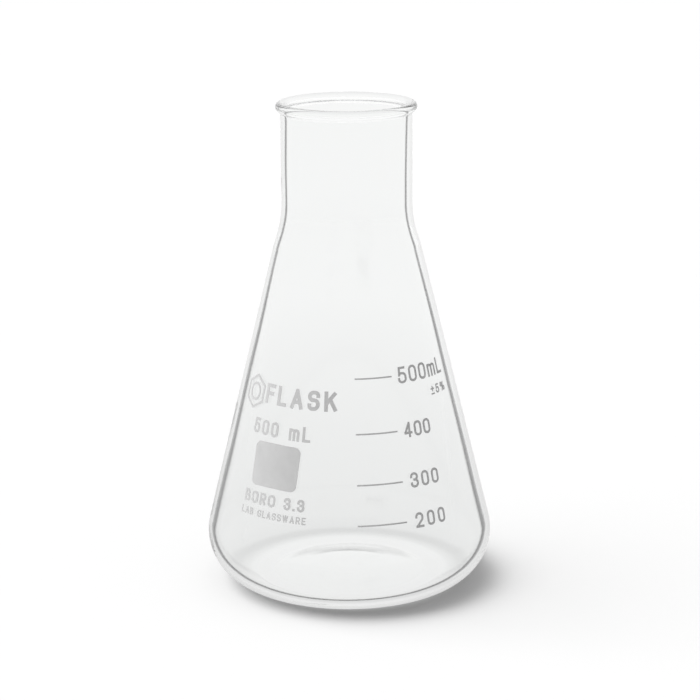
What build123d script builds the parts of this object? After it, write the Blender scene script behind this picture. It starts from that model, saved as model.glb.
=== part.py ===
from build123d import *
import math
import os

# A 500 mL wide-mouth Erlenmeyer flask: one blown borosilicate glass body, and the enamel
# markings that are fired onto its cone. Millimetres and degrees. The axis is +Z, the origin
# is on the axis in the plane that the foot rests on, and the printed side faces -Y.

# Outside of the glass
HEIGHT = 177.0
BODY_RADIUS = 52.1
HEEL_RADIUS = 18.7
CONE_ANGLE = 13.78
NECK_RADIUS = 23.4
NECK_CORNER_HEIGHT = 135.2
FLARE_ANGLE = 17.5
NECK_BEND_RADIUS = 38.0
SHOULDER_RADIUS = 95.0
BEAD_RADIUS = 25.15
BEAD_FILLET_RADIUS = 0.9

# Foot ring and push-up of the bottom
FOOT_INNER_RADIUS = 27.0
PUNT_TOP_RADIUS = 14.0
PUNT_HEIGHT = 1.5
PUNT_BEND_RADIUS = 60.0

# Inside of the glass
WALL = 1.6
FLOOR_THICKNESS = 2.8
INNER_HEEL_RADIUS = 16.0
INNER_SHOULDER_RADIUS = 30.0

# Enamel
ENAMEL = 0.1
LINE_WIDTH = 0.5
LINE_START, LINE_END = 3.5, 24.6
NUMBER_START = 28.2
NUMBER_END, NUMBER_AND_UNIT_END = 44.4, 63.6
NUMBER_STROKE = 0.85
PRINT_BOTTOM, PRINT_TOP = 28.0, 96.0
PRINT_DEPTH = 3.0
LETTER_GAP = 0.16
PATCH_WIDTH, PATCH_HEIGHT, PATCH_CORNER = 19.6, 15.8, 2.3
PATCH_AZIMUTH, PATCH_Z = -36.4, 53.3
EMBLEM_RADIUS, EMBLEM_RING_RADIUS, EMBLEM_STROKE = 6.3, 3.3, 0.9
EMBLEM_AZIMUTH, EMBLEM_Z = -58.8, 76.6

# Volume in mL: (height of its graduation line, height of its number)
GRADUATIONS = {500: (85.1, 5.9), 400: (66.3, 5.4), 300: (49.0, 5.4), 200: (35.2, 5.4)}

# Node: (text, height above the foot, letter height, first and last azimuth, stroke width)
PRINTED_LINES = {
    "tolerance_mark": ("±5%", 77.6, 3.3, 49.5, 63.5, 0.55),
    "name_mark": ("FLASK", 77.4, 7.1, -49.3, -5.2, 1.35),
    "capacity_mark": ("500 mL", 65.6, 5.4, -54.3, -18.6, 1.0),
    "glass_type_mark": ("BORO 3.3", 41.3, 4.4, -51.5, -19.2, 0.88),
    "description_mark": ("LAB GLASSWARE", 36.2, 2.6, -52.0, -18.3, 0.46),
}

# Letters as pen strokes, in letter heights: (width, strokes), where a stroke is its points
# and the radius of each bend between them. A stroke that ends where it starts is a loop.
LETTERS = {
    "0": (0.54, [([(0, 0), (0.54, 0), (0.54, 1), (0, 1), (0, 0)], [0.26] * 4)]),
    "2": (0.54, [([(0, 0.74), (0, 1), (0.54, 1), (0.54, 0.55), (0.06, 0.06)],
                  [0.25, 0.26, 0.2]),
                 ([(0, 0), (0.54, 0)], [])]),
    "3": (0.54, [([(0, 0.76), (0, 1), (0.52, 1), (0.52, 0.53), (0.26, 0.53)],
                  [0.23, 0.24, 0.22]),
                 ([(0.26, 0.53), (0.54, 0.53), (0.54, 0), (0, 0), (0, 0.25)],
                  [0.25, 0.26, 0.24])]),
    "4": (0.54, [([(0.38, 0), (0.38, 1)], []), ([(0.35, 0.95), (0.03, 0.33)], []),
                 ([(0, 0.26), (0.54, 0.26)], [])]),
    "5": (0.54, [([(0.46, 1), (0.08, 1), (0.05, 0.6)], [0]),
                 ([(0.04, 0.5), (0.04, 0.62), (0.54, 0.62), (0.54, 0), (0, 0), (0, 0.24)],
                  [0.1, 0.25, 0.25, 0.22])]),
    "m": (0.72, [([(0, 0), (0, 0.74)], []),
                 ([(0, 0.45), (0, 0.74), (0.36, 0.74), (0.36, 0)], [0.17, 0.17]),
                 ([(0.36, 0.45), (0.36, 0.74), (0.72, 0.74), (0.72, 0)], [0.17, 0.17])]),
    "±": (0.5, [([(0.25, 0.4), (0.25, 0.9)], []), ([(0, 0.65), (0.5, 0.65)], []),
                ([(0, 0), (0.5, 0)], [])]),
    "%": (0.86, [([(0, 0.55), (0.32, 0.55), (0.32, 1), (0, 1), (0, 0.55)], [0.15] * 4),
                 ([(0.54, 0), (0.86, 0), (0.86, 0.45), (0.54, 0.45), (0.54, 0)], [0.15] * 4),
                 ([(0.22, 0), (0.64, 1)], [])]),
    ".": (0.02, [([(0, 0), (0.02, 0)], [])]),
    "A": (0.66, [([(0.02, 0), (0.33, 0.98)], []), ([(0.33, 0.98), (0.64, 0)], []),
                 ([(0.18, 0.3), (0.48, 0.3)], [])]),
    "B": (0.54, [([(0, 0), (0.54, 0), (0.54, 0.54), (0, 0.54), (0, 0)], [0, 0.25, 0.25, 0]),
                 ([(0, 0.54), (0.48, 0.54), (0.48, 1), (0, 1), (0, 0.54)],
                  [0, 0.21, 0.21, 0])]),
    "E": (0.5, [([(0.5, 1), (0, 1), (0, 0), (0.5, 0)], [0, 0]),
                ([(0, 0.52), (0.44, 0.52)], [])]),
    "F": (0.5, [([(0, 0), (0, 1), (0.5, 1)], [0]), ([(0, 0.52), (0.42, 0.52)], [])]),
    "G": (0.6, [([(0.6, 0.78), (0.6, 1), (0, 1), (0, 0), (0.6, 0), (0.6, 0.45), (0.34, 0.45)],
                 [0.2, 0.29, 0.29, 0.2, 0])]),
    "K": (0.58, [([(0, 0), (0, 1)], []), ([(0.5, 0.96), (0.06, 0.42)], []),
                 ([(0.26, 0.6), (0.55, 0.04)], [])]),
    "L": (0.46, [([(0, 1), (0, 0), (0.46, 0)], [0])]),
    "O": (0.66, [([(0, 0), (0.66, 0), (0.66, 1), (0, 1), (0, 0)], [0.32] * 4)]),
    "R": (0.56, [([(0, 0), (0, 1)], []),
                 ([(0.05, 1), (0.54, 1), (0.54, 0.47), (0.05, 0.47)], [0.25, 0.25]),
                 ([(0.33, 0.42), (0.53, 0.04)], [])]),
    "S": (0.54, [([(0.54, 0.8), (0.54, 1), (0, 1), (0, 0.53), (0.54, 0.53), (0.54, 0), (0, 0),
                   (0, 0.2)], [0.19, 0.25, 0.22, 0.22, 0.25, 0.19])]),
    "W": (0.84, [([(0.02, 0.98), (0.21, 0.02)], []), ([(0.21, 0.02), (0.42, 0.98)], []),
                 ([(0.42, 0.98), (0.63, 0.02)], []), ([(0.63, 0.02), (0.82, 0.98)], [])]),
    " ": (0.3, []),
}

COS_CONE, SIN_CONE = math.cos(math.radians(CONE_ANGLE)), math.sin(math.radians(CONE_ANGLE))
TAN_CONE, TAN_FLARE = SIN_CONE / COS_CONE, math.tan(math.radians(FLARE_ANGLE))
COS_30 = math.cos(math.radians(30))
HEEL_CENTRE = BODY_RADIUS - HEEL_RADIUS


def cone_radius(height, offset=0.0):
    """Radius of the cone's surface, moved outwards by offset, at a height."""
    distance = HEEL_CENTRE * COS_CONE + HEEL_RADIUS * SIN_CONE + HEEL_RADIUS + offset
    return (distance - height * SIN_CONE) / COS_CONE


def wall_corners(offset, floor):
    """Where the straight lines of one side of the wall meet, from the floor to the neck."""
    neck = NECK_RADIUS + offset
    cos_flare = math.cos(math.radians(FLARE_ANGLE))
    flare_at_floor = NECK_RADIUS + NECK_CORNER_HEIGHT * TAN_FLARE + offset / cos_flare
    shoulder = (flare_at_floor - cone_radius(0, offset)) / (TAN_FLARE - TAN_CONE)
    neck_corner = (flare_at_floor - neck) / TAN_FLARE
    return [
        (cone_radius(floor, offset), floor),
        (cone_radius(shoulder, offset), shoulder),
        (neck, neck_corner),
    ]


def wall_outline(offset, floor, punt_top, heel, shoulder, top):
    """One side of the glass, from the axis over the floor and up to the neck's top."""
    corners = [
        (0, punt_top),
        (PUNT_TOP_RADIUS, punt_top),
        (FOOT_INNER_RADIUS, floor),
        *wall_corners(offset, floor),
        (NECK_RADIUS + offset, top),
    ]
    radii = [PUNT_BEND_RADIUS, PUNT_BEND_RADIUS, heel, shoulder, NECK_BEND_RADIUS - offset]
    return FilletPolyline(*corners, radius=radii)


def glass_section():
    """Half section of the glass: both sides of the wall, joined by the round bead."""
    inner_neck = NECK_RADIUS - WALL
    bead = (BEAD_RADIUS - inner_neck) / 2
    bead_centre = (inner_neck + bead, HEIGHT - bead)
    fillet_x = NECK_RADIUS + BEAD_FILLET_RADIUS
    reach = bead + BEAD_FILLET_RADIUS
    drop = math.sqrt(reach**2 - (fillet_x - bead_centre[0]) ** 2)
    fillet_centre = (fillet_x, bead_centre[1] - drop)
    turn = math.degrees(math.atan2(drop, bead_centre[0] - fillet_x))

    outside = wall_outline(
        0, 0, PUNT_HEIGHT, HEEL_RADIUS, SHOULDER_RADIUS, fillet_centre[1]
    )
    under_bead = CenterArc(fillet_centre, BEAD_FILLET_RADIUS, 180, turn - 180)
    over_bead = CenterArc(bead_centre, bead, turn - 180, 360 - turn)
    inside = wall_outline(
        -WALL,
        FLOOR_THICKNESS,
        PUNT_HEIGHT + FLOOR_THICKNESS,
        INNER_HEEL_RADIUS,
        INNER_SHOULDER_RADIUS,
        bead_centre[1],
    )
    axis_line = Line((0, PUNT_HEIGHT), (0, PUNT_HEIGHT + FLOOR_THICKNESS))
    return make_face([outside, under_bead, over_bead, inside, axis_line])


def lathe(section):
    """Turn a section drawn as radius along X and height along Y into a solid."""
    return revolve(Plane.XZ * section, Axis.Z)


def enamel_sleeve():
    """The skin of enamel's thickness all round the cone, from which markings are cut."""
    return lathe(
        Polygon(
            (cone_radius(PRINT_BOTTOM), PRINT_BOTTOM),
            (cone_radius(PRINT_BOTTOM, ENAMEL), PRINT_BOTTOM),
            (cone_radius(PRINT_TOP, ENAMEL), PRINT_TOP),
            (cone_radius(PRINT_TOP), PRINT_TOP),
            align=None,
        )
    )


def wall_plane(azimuth, height):
    """Plane that touches the cone; azimuth 0 is the -Y side and grows towards +X."""
    angle = math.radians(azimuth)
    radius = cone_radius(height)
    return Plane(
        origin=(radius * math.sin(angle), -radius * math.cos(angle), height),
        x_dir=(math.cos(angle), math.sin(angle), 0),
        z_dir=(COS_CONE * math.sin(angle), -COS_CONE * math.cos(angle), SIN_CONE),
    )


def printed(shape, azimuth, height):
    """Lay a flat shape on the cone as enamel."""
    block = extrude(wall_plane(azimuth, height) * shape, amount=PRINT_DEPTH, both=True)
    return (block & SLEEVE).solids()


def beside(path, bends, shift, loop):
    """Corners and bend radii of the line at a distance to the left of a pen's path."""
    count = len(path)
    steps = [path[(i + 1) % count] - path[i] for i in range(count)]
    ways = [step / abs(step) for step in steps]
    corners, radii = [], []
    for i, point in enumerate(path):
        first_end, last_end = not loop and i == 0, not loop and i == count - 1
        arriving = ways[0] if first_end else ways[i - 1]
        leaving = arriving if last_end else ways[i]
        turn = (arriving.conjugate() * leaving).imag
        spread = 1 + (arriving.conjugate() * leaving).real
        corners.append(point + 1j * shift * (arriving + leaving) / spread)
        bend = 0 if first_end or last_end else bends[i if loop else i - 1]
        radii.append(max(0, bend - math.copysign(shift, turn * shift)) if bend else 0)
    return corners, radii


def outline_face(corners, radii):
    """Flat shape inside a closed line with a bend at each corner."""
    line = FilletPolyline(*[(c.real, c.imag) for c in corners], radius=radii, close=True)
    return make_face(line)


def pen_stroke(points, bends, size, width):
    """One stroke of a letter, as a flat shape with square ends, or a loop with a hole."""
    loop = points[0] == points[-1]
    path = [size * complex(x, y) for x, y in (points[:-1] if loop else points)]
    if not loop:
        first, last = path[1] - path[0], path[-1] - path[-2]
        path[0] -= first / abs(first) * width / 2
        path[-1] += last / abs(last) * width / 2
    radii = [size * bend for bend in bends]
    left_corners, left_radii = beside(path, radii, width / 2, loop)
    right_corners, right_radii = beside(path, radii, -width / 2, loop)
    if loop:
        return outline_face(right_corners, right_radii) - outline_face(left_corners, left_radii)
    return outline_face(left_corners + right_corners[::-1], left_radii + right_radii[::-1])


def letter_shape(letter, size, width):
    """All strokes of one letter, centred on its own width and height."""
    letter_width, strokes = LETTERS[letter]
    shape = Sketch()
    for points, bends in strokes:
        shape += pen_stroke(points, bends, size, width)
    return Pos(-size * letter_width / 2, -size / 2) * shape


def printed_text(text, height, letter_height, start, end, stroke):
    """Letters of enamel round the cone, spread from the start to the end azimuth."""
    size = letter_height - stroke
    widths = [size * LETTERS[letter][0] + stroke for letter in text]
    gap = LETTER_GAP * size
    total = sum(widths) + gap * (len(text) - 1)
    solids, reached = [], 0
    for letter, width in zip(text, widths):
        azimuth = start + (end - start) * (reached + width / 2) / total
        if letter != " ":
            for face in letter_shape(letter, size, stroke).faces():
                solids += printed(face, azimuth, height)
        reached += width + gap
    return Compound(children=solids)


def graduation_line(height):
    """A thin strip of enamel along a level ring of the cone."""
    low, high = height - LINE_WIDTH / 2, height + LINE_WIDTH / 2
    strip = Polygon(
        (cone_radius(low), low),
        (cone_radius(low, ENAMEL), low),
        (cone_radius(high, ENAMEL), high),
        (cone_radius(high), high),
        align=None,
    )
    turned = revolve(Plane.XZ * strip, Axis.Z, LINE_END - LINE_START)
    return Rot(0, 0, LINE_START - 90) * turned


def writing_patch():
    """The block of enamel that a pencil can write on."""
    outline = RectangleRounded(PATCH_WIDTH, PATCH_HEIGHT, PATCH_CORNER)
    return Compound(children=printed(outline, PATCH_AZIMUTH, PATCH_Z))


def emblem():
    """A plain benzene ring: a hexagon round a circle."""
    hexagon = RegularPolygon(EMBLEM_RADIUS, 6, rotation=90)
    hexagon -= RegularPolygon(EMBLEM_RADIUS - EMBLEM_STROKE / COS_30, 6, rotation=90)
    ring = Circle(EMBLEM_RING_RADIUS) - Circle(EMBLEM_RING_RADIUS - EMBLEM_STROKE)
    parts = [*hexagon.faces(), *ring.faces()]
    return Compound(
        children=[s for face in parts for s in printed(face, EMBLEM_AZIMUTH, EMBLEM_Z)]
    )


SLEEVE = enamel_sleeve()

nodes = {"flask_body": lathe(glass_section())}
for volume, (line_height, number_height) in GRADUATIONS.items():
    nodes[f"graduation_line_{volume}"] = graduation_line(line_height)
    top = volume == max(GRADUATIONS)
    label, label_end = (f"{volume}mL", NUMBER_AND_UNIT_END) if top else (f"{volume}", NUMBER_END)
    nodes[f"graduation_number_{volume}"] = printed_text(
        label, line_height, number_height, NUMBER_START, label_end, NUMBER_STROKE
    )
for name, line in PRINTED_LINES.items():
    nodes[name] = printed_text(*line)
nodes["writing_patch"] = writing_patch()
nodes["emblem_mark"] = emblem()

os.makedirs("parts", exist_ok=True)
for name, shape in nodes.items():
    export_step(shape, f"parts/{name}.step")
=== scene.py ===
import cmath
import math

import bmesh
import bpy
from mathutils import Matrix, Vector


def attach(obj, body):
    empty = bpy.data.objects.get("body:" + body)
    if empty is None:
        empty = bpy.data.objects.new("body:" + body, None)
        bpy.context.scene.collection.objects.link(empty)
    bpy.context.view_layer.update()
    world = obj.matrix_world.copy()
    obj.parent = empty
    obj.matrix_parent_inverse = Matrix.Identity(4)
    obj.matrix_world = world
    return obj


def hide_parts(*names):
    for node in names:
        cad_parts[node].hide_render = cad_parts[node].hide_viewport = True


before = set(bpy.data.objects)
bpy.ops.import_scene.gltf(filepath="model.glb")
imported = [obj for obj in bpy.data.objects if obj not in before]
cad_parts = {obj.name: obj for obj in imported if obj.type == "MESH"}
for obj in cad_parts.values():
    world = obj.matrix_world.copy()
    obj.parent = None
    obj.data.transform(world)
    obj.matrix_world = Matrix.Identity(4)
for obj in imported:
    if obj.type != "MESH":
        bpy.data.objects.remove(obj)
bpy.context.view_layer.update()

MM = 0.001

# The glass, in millimetres, as the CAD model has it
HEIGHT = 177.0
BODY_RADIUS = 52.1
HEEL_RADIUS = 18.7
CONE_ANGLE = 13.78
NECK_RADIUS = 23.4
NECK_CORNER_HEIGHT = 135.2
FLARE_ANGLE = 17.5
NECK_BEND_RADIUS = 38.0
SHOULDER_RADIUS = 95.0
BEAD_RADIUS = 25.15
BEAD_FILLET_RADIUS = 0.9
FOOT_INNER_RADIUS = 27.0
PUNT_TOP_RADIUS = 14.0
PUNT_HEIGHT = 1.5
PUNT_BEND_RADIUS = 60.0
WALL = 1.6
FLOOR_THICKNESS = 2.8
INNER_HEEL_RADIUS = 16.0
INNER_SHOULDER_RADIUS = 30.0

# How finely the glass is turned, and how far it reaches into the enamel on it
SEGMENTS = 256
RING_SPACING = 2.2
ARC_STEP = math.radians(4.0)
ENAMEL_BITE = 0.02

# The inside of a blown wall strays from a true turned surface: it leans towards -X, and has waves
# of a depth, a number round the flask, and a height in which they drift by a radian. It strays
# less close to the axis and to the top.
LEAN = 0.22
WAVES = [(0.030, 2, 31), (0.020, 3, -19), (0.012, 5, 7)]
STRAY_TOP, STRAY_FADE = 170, 20

# Camera, in metres and degrees
CAMERA_PLACE = (0.0007, -0.7931, 0.2944)
CAMERA_PITCH = 14.716
CAMERA_ROLL = -0.43
LENS_MM = 115.97
SENSOR_MM = 36.0

# Glass
GLASS_IOR = 1.473
GLASS_TINT = (0.985, 0.99, 0.987, 1)
RIPPLE_SCALE, RIPPLE_STRENGTH, RIPPLE_DEPTH = 45.0, 0.05, 0.0004
WHITE, BLACK = (1, 1, 1, 1), (0, 0, 0, 1)

# Painted shade on the wall, by one less the cosine, and darkness: the outside as light arrives
# from the air, and the inside from within the glass, just before it reflects all.
# These dark edge bands paint in the dark studio that the glass would reflect there.
OUTER_PAINTED_EDGE = [(0, 0.0), (0.6, 0.0), (1, 0.45)]
INNER_PAINTED_EDGE = [(0, 0.0), (0.242, 0.0), (0.249, 1.0), (0.270, 1.0), (0.275, 0.0), (1, 0.0)]

# How much of a lamp's light gets past each face of the glass, in the thick heel and in the wall,
# and where the middle of the heel is and how far from it the one gives way to the other
HEEL_PASSES, WALL_PASSES = 0.5, 0.965
HEEL_MIDDLE_RADIUS, HEEL_MIDDLE_HEIGHT = 0.043, 0.004
HEEL_NEAR, HEEL_FAR = 0.004, 0.012

# Enamel: white, but its greys are darkened as painted shade on the front of the print; their
# spread is the uneven coat
ENAMEL_IOR = 1.5
ENAMEL_SHADED_GREYS = [(0.0, 0.44), (0.25, 0.44), (0.75, 0.475), (1.0, 0.475)]
COAT_SCALE, COAT_DETAIL = 260.0, 4.0
GRAIN_SCALE, GRAIN_DETAIL = 5200.0, 3.0
GRAIN_STRENGTH, GRAIN_DEPTH = 0.35, 0.00003
SMOOTHEST, ROUGHEST = 0.5, 0.75

# Painted bench, glowing, seen only through the glass: millimetres from the axis and brightness,
# with a painted contact shadow as a darker ring round the foot, and further out how much brighter
# it becomes, and where it is brightest
BENCH_PAINTED_SHADES = [(0, 0.86), (36, 0.86), (38, 0.80), (40, 0.76), (43, 0.68), (46, 0.68), (50, 0.78),
                (62, 0.81), (120, 0.84)]
BENCH_SHADED = 0.120
BENCH_FULL, BENCH_GAIN = 0.45, 1.12
CARD_RADIUS, CARD_SEGMENTS, CARD_CLEARANCE = 1.6, 96, 0.00005

# Room and lamp
FLOOR_SIZE, FLOOR_GREY = 12.0, 0.8
ROOM_SHOWN, ROOM_FALLING = 1.0, 0.35
KEY_ENERGY, KEY_ANGLE = 3.8, 56.0
KEY_TOWARDS = (0.88, 0.0, -1.0)

# Path lengths: light runs far along inside the wall of the glass
BOUNCES, TRANSPARENT_BOUNCES = 96, 24

COS_CONE, SIN_CONE = math.cos(math.radians(CONE_ANGLE)), math.sin(math.radians(CONE_ANGLE))
TAN_CONE, TAN_FLARE = SIN_CONE / COS_CONE, math.tan(math.radians(FLARE_ANGLE))


# ---- Outlines, as complex numbers: radius + height * 1j, in millimetres

def cone_radius(height, offset):
    """Radius of the cone's surface, moved outwards by offset, at a height."""
    centre = BODY_RADIUS - HEEL_RADIUS
    distance = centre * COS_CONE + HEEL_RADIUS * SIN_CONE + HEEL_RADIUS + offset
    return (distance - height * SIN_CONE) / COS_CONE


def wall_corners(offset, floor, punt_top, top):
    """Corners of one side of the wall, from the axis over the floor and up to the neck's top."""
    cos_flare = math.cos(math.radians(FLARE_ANGLE))
    flare_at_floor = NECK_RADIUS + NECK_CORNER_HEIGHT * TAN_FLARE + offset / cos_flare
    shoulder = (flare_at_floor - cone_radius(0, offset)) / (TAN_FLARE - TAN_CONE)
    neck_corner = (flare_at_floor - NECK_RADIUS - offset) / TAN_FLARE
    return [
        complex(0, punt_top),
        complex(PUNT_TOP_RADIUS, punt_top),
        complex(FOOT_INNER_RADIUS, floor),
        complex(cone_radius(floor, offset), floor),
        complex(cone_radius(shoulder, offset), shoulder),
        complex(NECK_RADIUS + offset, neck_corner),
        complex(NECK_RADIUS + offset, top),
    ]


def arc_points(centre, radius, start, sweep):
    """Points along an arc, both ends included."""
    steps = max(2, math.ceil(abs(sweep) / ARC_STEP), math.ceil(abs(sweep) * radius / RING_SPACING))
    return [centre + cmath.rect(radius, start + sweep * i / steps) for i in range(steps + 1)]


def straight_points(start, end):
    """Points along a straight run, without its end."""
    steps = max(1, math.ceil(abs(end - start) / RING_SPACING))
    return [start + (end - start) * i / steps for i in range(steps)]


def bent_line(corners, bends):
    """Points along straight runs joined by tangent arcs of the given radii."""
    points, here = [], corners[0]
    for before, corner, after, bend in zip(corners, corners[1:], corners[2:], bends):
        arriving = (corner - before) / abs(corner - before)
        leaving = (after - corner) / abs(after - corner)
        turn = cmath.phase(leaving / arriving)
        reach = bend * math.tan(abs(turn) / 2)
        side = 1j * math.copysign(1, turn)
        start = corner - arriving * reach
        centre = start + arriving * side * bend
        points += straight_points(here, start)
        arc = arc_points(centre, bend, cmath.phase(start - centre), turn)
        points += arc[:-1]
        here = arc[-1]
    return points + straight_points(here, corners[-1]) + [corners[-1]]


def glass_outline():
    """The outline of the wall: the outside from the axis under the foot and over the bead, and
    the inside from there back down to the axis."""
    inner_neck = NECK_RADIUS - WALL
    bead = (BEAD_RADIUS - inner_neck) / 2
    bead_centre = complex(inner_neck + bead, HEIGHT - bead)
    reach = bead + BEAD_FILLET_RADIUS
    across = NECK_RADIUS + BEAD_FILLET_RADIUS - bead_centre.real
    fillet_centre = bead_centre + complex(across, -math.sqrt(reach**2 - across**2))
    touch = cmath.phase(fillet_centre - bead_centre)

    outer_bends = [PUNT_BEND_RADIUS, PUNT_BEND_RADIUS, HEEL_RADIUS, SHOULDER_RADIUS,
                   NECK_BEND_RADIUS]
    inner_bends = [PUNT_BEND_RADIUS, PUNT_BEND_RADIUS, INNER_HEEL_RADIUS,
                   INNER_SHOULDER_RADIUS, NECK_BEND_RADIUS + WALL]
    outside = bent_line(wall_corners(0, 0, PUNT_HEIGHT, fillet_centre.imag), outer_bends)
    under_bead = arc_points(fillet_centre, BEAD_FILLET_RADIUS, math.pi, touch)
    over_bead = arc_points(bead_centre, bead, touch, math.pi - touch)
    inside = bent_line(
        wall_corners(-WALL, FLOOR_THICKNESS, PUNT_HEIGHT + FLOOR_THICKNESS, bead_centre.imag),
        inner_bends,
    )
    outer = outside[:-1] + under_bead[:-1] + over_bead[:-1]
    return outer, inside[::-1]


# ---- Pieces

def new_object(name, mesh):
    made = bpy.data.objects.new(name, mesh)
    bpy.context.scene.collection.objects.link(made)
    return made


def wall_stray(angle, point):
    """How far the inside of the wall strays outwards at a point of its outline."""
    low = min(1.0, point.real / STRAY_FADE)
    high = min(1.0, max(0.0, (STRAY_TOP - point.imag) / STRAY_FADE))
    waves = sum(
        depth * math.sin(count * angle + point.imag / drift) for depth, count, drift in WAVES
    )
    return (waves - LEAN * math.cos(angle)) * low * high


def turned_ring(shape, point, inside, mark):
    """One ring of the turned glass, or the single corner where the outline meets the axis."""
    if abs(point.real) < 1e-9:
        places = [(0, 0, point.imag * MM)]
    else:
        places = []
        for i in range(SEGMENTS):
            angle = 2 * math.pi * i / SEGMENTS
            stray = wall_stray(angle, point) if inside else ENAMEL_BITE
            radius = (point.real + stray) * MM
            places.append((radius * math.cos(angle), radius * math.sin(angle), point.imag * MM))
    ring = [shape.verts.new(place) for place in places]
    for corner in ring:
        corner[mark] = float(inside)
    return ring


def blown_glass():
    """The flask as one closed wall of glass, turned round the axis."""
    outer, inner = glass_outline()
    shape = bmesh.new()
    mark = shape.verts.layers.float.new("inside")
    rings = [turned_ring(shape, point, False, mark) for point in outer]
    rings += [turned_ring(shape, point, True, mark) for point in inner]
    for lower, upper in zip(rings, rings[1:]):
        for i in range(SEGMENTS):
            j = (i + 1) % SEGMENTS
            if len(lower) == 1:
                shape.faces.new((lower[0], upper[j], upper[i]))
            elif len(upper) == 1:
                shape.faces.new((lower[i], lower[j], upper[0]))
            else:
                shape.faces.new((lower[i], lower[j], upper[j], upper[i]))
    for face in shape.faces:
        face.smooth = True
    bmesh.ops.recalc_face_normals(shape, faces=shape.faces)
    mesh = bpy.data.meshes.new("blown_glass")
    shape.to_mesh(mesh)
    shape.free()
    return new_object("blown_glass", mesh)


# ---- Materials

class Graph:
    """An emptied node tree, with short ways to add nodes to it."""

    def __init__(self, tree):
        self.nodes, self.links = tree.nodes, tree.links
        self.nodes.clear()

    def add(self, kind, inputs=None, **settings):
        """A node with its settings, and with each input wired to a socket or set to a value."""
        node = self.nodes.new("ShaderNode" + kind)
        for name, value in settings.items():
            setattr(node, name, value)
        for name, value in (inputs or {}).items():
            if isinstance(value, bpy.types.NodeSocket):
                self.links.new(value, node.inputs[name])
            else:
                node.inputs[name].default_value = value
        return node

    def math(self, operation, first, second):
        return self.add("Math", {0: first, 1: second}, operation=operation).outputs[0]

    def length(self, vector):
        return self.add("VectorMath", {0: vector}, operation="LENGTH").outputs["Value"]

    def map_range(self, value, start, end, low, high):
        inputs = {"From Min": start, "From Max": end, "To Min": low, "To Max": high}
        return self.add("MapRange", {"Value": value, **inputs}).outputs["Result"]

    def mix(self, factor, first, second, kind="FLOAT"):
        inputs = {"Factor": factor, "A": first, "B": second}
        return self.add("Mix", inputs, data_type=kind).outputs["Result"]

    def mix_shader(self, factor, first, second):
        return self.add("MixShader", {"Fac": factor, 1: first, 2: second}).outputs["Shader"]

    def greys(self, value, stops):
        """Greys through the stops, from the first stop's place to the last one's."""
        node = self.add("ValToRGB", {"Fac": value})
        ramp = node.color_ramp
        ramp.elements.remove(ramp.elements[1])
        first, last = stops[0][0], stops[-1][0]
        for place, grey in stops:
            share = (place - first) / (last - first)
            element = ramp.elements.new(share) if share else ramp.elements[0]
            element.position = share
            element.color = (grey, grey, grey, 1)
        return node.outputs["Color"]

    def after_diffuse(self):
        """1 for a lamp's light and for light that has left something matt, otherwise 0."""
        path = self.add("LightPath")
        has_left = self.math("GREATER_THAN", path.outputs["Diffuse Depth"], 0.5)
        return self.math("MAXIMUM", has_left, path.outputs["Is Shadow Ray"])


def new_material(name):
    """A material with an empty graph."""
    material = bpy.data.materials.new(name)
    material.use_nodes = True
    return material, Graph(material.node_tree)


def painted_edge_shade(graph):
    """Painted shade: dark bands at the glass's edges, set by how squarely a ray meets the face,
    standing in for the dark studio the glass would reflect there.
    """
    facing = graph.add("LayerWeight", {"Blend": 0.5}).outputs["Facing"]
    within = graph.add("NewGeometry").outputs["Backfacing"]
    inside = graph.add("Attribute", attribute_name="inside").outputs["Fac"]
    arriving = graph.mix(within, graph.greys(facing, OUTER_PAINTED_EDGE), 0.0)
    leaving = graph.math("MULTIPLY", within, graph.greys(facing, INNER_PAINTED_EDGE))
    return graph.mix(inside, arriving, leaving)


def lamp_share(graph, place):
    """How much of a lamp's light passes: the thick heel turns most of it aside."""
    parts = graph.add("SeparateXYZ", {"Vector": place}).outputs
    across = graph.add("CombineXYZ", {"X": parts["X"], "Y": parts["Y"]}).outputs["Vector"]
    beside = graph.math("SUBTRACT", graph.length(across), HEEL_MIDDLE_RADIUS)
    above = graph.math("SUBTRACT", parts["Z"], HEEL_MIDDLE_HEIGHT)
    from_heel = graph.add("CombineXYZ", {"X": beside, "Y": above}).outputs["Vector"]
    distance = graph.length(from_heel)
    return graph.map_range(distance, HEEL_NEAR, HEEL_FAR, HEEL_PASSES, WALL_PASSES)


def borosilicate():
    """Clear glass with the slow ripple of blown work."""
    material, graph = new_material("borosilicate")
    place = graph.add("TexCoord").outputs["Object"]
    wave = graph.add("TexNoise", {"Vector": place, "Scale": RIPPLE_SCALE, "Detail": 1.0})
    ripple = graph.add("Bump", {
        "Height": wave.outputs["Fac"],
        "Strength": RIPPLE_STRENGTH,
        "Distance": RIPPLE_DEPTH,
    })
    # Painted shade: the glass's colour and gloss go dark in bands at its edges
    dark = painted_edge_shade(graph)
    glass = graph.add("BsdfPrincipled", {
        "Base Color": graph.mix(dark, GLASS_TINT, BLACK, "RGBA"),
        "Specular Tint": graph.mix(dark, WHITE, BLACK, "RGBA"),
        "Roughness": 0.0,
        "IOR": GLASS_IOR,
        "Transmission Weight": 1.0,
        "Normal": ripple.outputs["Normal"],
    })
    clear = graph.add("BsdfTransparent", {"Color": lamp_share(graph, place)})
    shader = graph.mix_shader(
        graph.after_diffuse(), glass.outputs["BSDF"], clear.outputs["BSDF"]
    )
    graph.add("OutputMaterial", {"Surface": shader})
    return material


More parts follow.
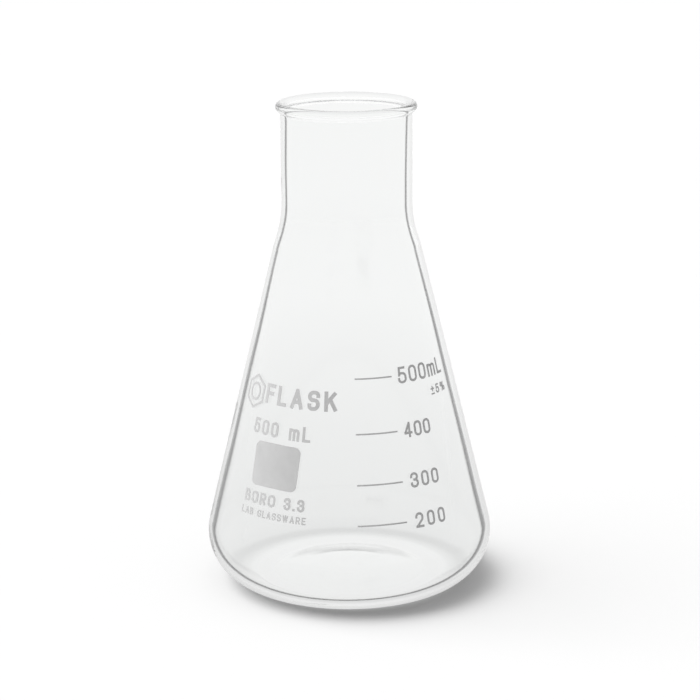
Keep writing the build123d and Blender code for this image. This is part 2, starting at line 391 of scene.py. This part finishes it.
def enamel():
    """White screen-printed enamel, fired matt, with a fine grain and a slightly uneven coat, its
    colour darkened to grey as painted shade.
    """
    material, graph = new_material("enamel")
    place = graph.add("TexCoord").outputs["Object"]
    coat = graph.add("TexNoise", {"Vector": place, "Scale": COAT_SCALE, "Detail": COAT_DETAIL})
    fine = graph.add("TexNoise", {"Vector": place, "Scale": GRAIN_SCALE, "Detail": GRAIN_DETAIL})
    grain = fine.outputs["Fac"]
    bump = graph.add("Bump", {
        "Height": grain,
        "Strength": GRAIN_STRENGTH,
        "Distance": GRAIN_DEPTH,
    })
    paint = graph.add("BsdfPrincipled", {
        # Painted shade: the white enamel is given greys, not white
        "Base Color": graph.greys(coat.outputs["Fac"], ENAMEL_SHADED_GREYS),
        "Roughness": graph.map_range(grain, 0.0, 1.0, SMOOTHEST, ROUGHEST),
        "IOR": ENAMEL_IOR,
        "Normal": bump.outputs["Normal"],
    })
    graph.add("OutputMaterial", {"Surface": paint.outputs["BSDF"]})
    return material


def floor_material():
    material, graph = new_material("floor")
    surface = graph.add("BsdfDiffuse", {"Color": (FLOOR_GREY, FLOOR_GREY, FLOOR_GREY, 1)})
    graph.add("OutputMaterial", {"Surface": surface.outputs["BSDF"]})
    return material


def painted_bench_material():
    """The bench as the glass shows it, painted as a glowing card, with a painted contact shadow in
    a darker ring where the foot stands on it.
    """
    material, graph = new_material("bench")
    reach = graph.length(graph.add("TexCoord").outputs["Object"])
    share = graph.math("DIVIDE", reach, BENCH_SHADED)
    # Painted light and shade: the card glows, darker in a ring round the foot as a contact shadow
    surface = graph.add("Emission", {
        "Color": graph.greys(share, BENCH_PAINTED_SHADES),
        "Strength": graph.map_range(reach, BENCH_SHADED, BENCH_FULL, 1.0, BENCH_GAIN),
    })
    clear = graph.add("BsdfTransparent")
    shader = graph.mix_shader(
        graph.after_diffuse(), surface.outputs["Emission"], clear.outputs["BSDF"]
    )
    graph.add("OutputMaterial", {"Surface": shader})
    return material


# ---- Studio

def make_camera():
    """The camera at the place, tilt and roll above."""
    camera = bpy.data.objects.new("camera", bpy.data.cameras.new("camera"))
    bpy.context.scene.collection.objects.link(camera)
    camera.data.sensor_width = SENSOR_MM
    camera.data.lens = LENS_MM
    camera.data.clip_start, camera.data.clip_end = 0.01, 100
    pitch = math.radians(CAMERA_PITCH)
    aim = Matrix.Rotation(math.pi / 2 - pitch, 4, "X")
    roll = Matrix.Rotation(math.radians(CAMERA_ROLL), 4, "Z")
    camera.matrix_world = Matrix.Translation(CAMERA_PLACE) @ aim @ roll
    bpy.context.scene.camera = camera


def make_floor():
    """A wide square floor under the flask."""
    shape = bmesh.new()
    bmesh.ops.create_grid(shape, x_segments=1, y_segments=1, size=FLOOR_SIZE / 2)
    mesh = bpy.data.meshes.new("floor")
    shape.to_mesh(mesh)
    shape.free()
    mesh.materials.append(floor_material())
    new_object("floor", mesh)


def make_bench_card():
    """A round glowing card that lies on the floor, which only glass and gloss can see, painted
    with the bench's light and the foot's contact shadow.
    """
    shape = bmesh.new()
    bmesh.ops.create_circle(shape, cap_ends=True, segments=CARD_SEGMENTS, radius=CARD_RADIUS)
    mesh = bpy.data.meshes.new("bench_card")
    shape.to_mesh(mesh)
    shape.free()
    mesh.materials.append(painted_bench_material())
    card = new_object("bench_card", mesh)
    card.location = (0, 0, CARD_CLEARANCE)
    card.visible_camera = False
    card.visible_diffuse = False
    card.visible_shadow = False


def make_room():
    """White all round: softer for what the light falls on than for what the glass shows."""
    world = bpy.data.worlds.new("studio")
    bpy.context.scene.world = world
    world.use_nodes = True
    graph = Graph(world.node_tree)
    shown = graph.add("Background", {"Color": WHITE, "Strength": ROOM_SHOWN})
    falling = graph.add("Background", {"Color": WHITE, "Strength": ROOM_FALLING})
    shader = graph.mix_shader(
        graph.after_diffuse(), shown.outputs["Background"], falling.outputs["Background"]
    )
    graph.add("OutputWorld", {"Surface": shader})


def make_key():
    """One large soft lamp, high at the left."""
    lamp = bpy.data.lights.new("key", "SUN")
    lamp.energy = KEY_ENERGY
    lamp.angle = math.radians(KEY_ANGLE)
    key = bpy.data.objects.new("key", lamp)
    bpy.context.scene.collection.objects.link(key)
    key.visible_glossy = False
    key.visible_transmission = False
    key.rotation_mode = "QUATERNION"
    key.rotation_quaternion = Vector(KEY_TOWARDS).to_track_quat("-Z", "Y")


glass_piece = blown_glass()
glass_piece.data.materials.append(borosilicate())
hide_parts("flask_body")
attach(glass_piece, "root")

white_enamel = enamel()
for name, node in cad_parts.items():
    if name != "flask_body":
        node.data.materials.clear()
        node.data.materials.append(white_enamel)

make_camera()
make_floor()
make_room()
make_key()
make_bench_card()

scene = bpy.context.scene
scene.view_settings.view_transform = "Standard"
scene.cycles.max_bounces = BOUNCES
scene.cycles.transmission_bounces = BOUNCES
scene.cycles.glossy_bounces = BOUNCES
scene.cycles.transparent_max_bounces = TRANSPARENT_BOUNCES
